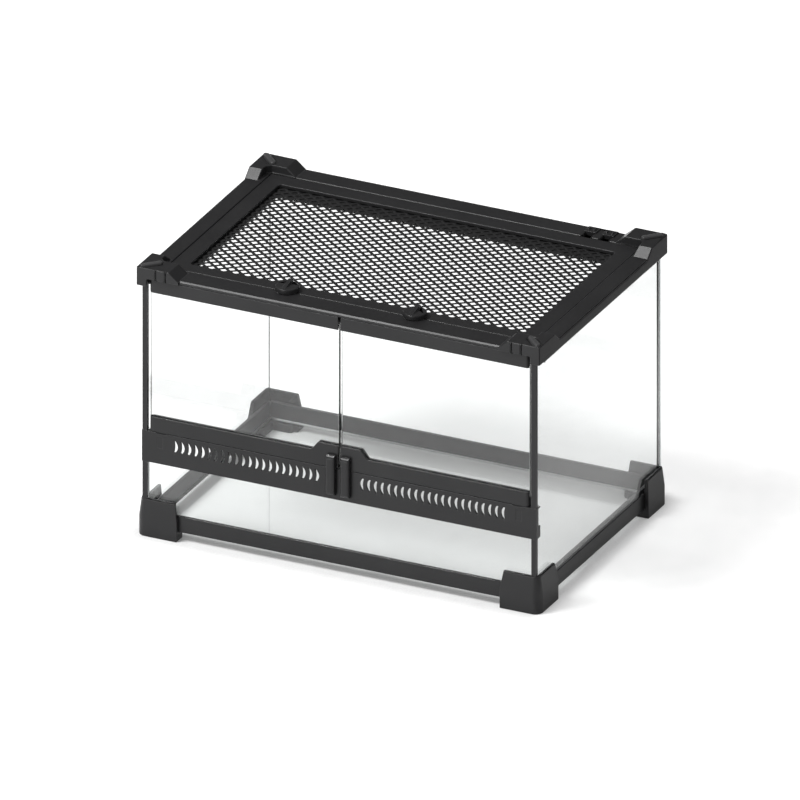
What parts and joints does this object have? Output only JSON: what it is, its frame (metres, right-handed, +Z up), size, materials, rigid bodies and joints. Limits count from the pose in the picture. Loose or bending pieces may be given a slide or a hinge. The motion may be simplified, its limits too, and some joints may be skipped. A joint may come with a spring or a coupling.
{
  "type": "reptile terrarium",
  "caption": "Glass reptile terrarium in a black frame, with double front doors over a slotted vent band, a lockable mesh lid and shuttered cable ports.",
  "frame": {"origin": "middle of the outline at ground level, under the feet", "axes": "+X to the right seen from the front, -Y out of the doors, +Z up"},
  "size_m": [0.3, 0.2022, 0.2],
  "materials": {
    "black_plastic": "satin",
    "clear_glass": "polished",
    "sealant": "satin",
    "mesh": "satin",
    "steel": "satin",
    "magnet": "plated"
  },
  "bodies": {
    "frame": {"foot_front_left": "black_plastic", "foot_front_right": "black_plastic", "foot_back_left": "black_plastic", "foot_back_right": "black_plastic", "foot_screws": "steel", "bottom_rail_front": "black_plastic", "bottom_rail_back": "black_plastic", "bottom_rail_left": "black_plastic", "bottom_rail_right": "black_plastic", "floor_panel": "clear_glass", "floor_seal": "sealant", "pane_left": "clear_glass", "pane_right": "clear_glass", "pane_back": "clear_glass", "pane_front": "clear_glass", "strip_front_left_lower": "black_plastic", "strip_front_left_upper": "black_plastic", "strip_front_right_lower": "black_plastic", "strip_front_right_upper": "black_plastic", "strip_back_left": "black_plastic", "strip_back_right": "black_plastic", "vent_band": "black_plastic", "door_keeper": "steel", "top_rail_front": "black_plastic", "top_rail_back": "black_plastic", "top_rail_left": "black_plastic", "top_rail_right": "black_plastic", "block_front_left": "black_plastic", "block_front_right": "black_plastic", "block_back_left": "black_plastic", "block_back_right": "black_plastic"},
    "door_left": {"door_left_glass": "clear_glass", "door_left_top_rail": "black_plastic", "door_left_bottom_rail": "black_plastic", "door_left_pull": "black_plastic", "door_left_pins": "steel", "door_left_magnet": "magnet"},
    "door_right": {"door_right_glass": "clear_glass", "door_right_top_rail": "black_plastic", "door_right_bottom_rail": "black_plastic", "door_right_pull": "black_plastic", "door_right_pins": "steel", "door_right_magnet": "magnet"},
    "lid": {"lid_frame": "black_plastic", "lid_mesh": "mesh", "mesh_retainer": "black_plastic", "lid_screws": "steel"},
    "lock_left": {"lock_knob_left": "black_plastic", "lock_cam_left": "black_plastic", "lock_screw_left": "steel"},
    "lock_right": {"lock_knob_right": "black_plastic", "lock_cam_right": "black_plastic", "lock_screw_right": "steel"},
    "shutter_left": {"cable_shutter_left": "black_plastic"},
    "shutter_right": {"cable_shutter_right": "black_plastic"}
  },
  "joints": [
    {"name": "door_left_hinge", "type": "hinge", "parent": "frame", "child": "door_left", "pos_m": [-0.1385, -0.095, 0.1], "axis": [0, 0, -1], "range_deg": [0, 95]},
    {"name": "door_right_hinge", "type": "hinge", "parent": "frame", "child": "door_right", "pos_m": [0.1385, -0.095, 0.1], "axis": [0, 0, 1], "range_deg": [0, 95]},
    {"name": "lid_lift", "type": "slide", "parent": "frame", "child": "lid", "axis": [0, 0, 1], "range_m": [0, 0.06]},
    {"name": "lock_left_turn", "type": "hinge", "parent": "lid", "child": "lock_left", "pos_m": [-0.0475, -0.0795, 0.193], "axis": [0, 0, 1], "range_deg": [0, 180]},
    {"name": "lock_right_turn", "type": "hinge", "parent": "lid", "child": "lock_right", "pos_m": [0.0475, -0.0795, 0.193], "axis": [0, 0, -1], "range_deg": [0, 180]},
    {"name": "shutter_left_slide", "type": "slide", "parent": "frame", "child": "shutter_left", "axis": [0, -1, 0], "range_m": [0, 0.006]},
    {"name": "shutter_right_slide", "type": "slide", "parent": "frame", "child": "shutter_right", "axis": [0, -1, 0], "range_m": [0, 0.006]}
  ]
}
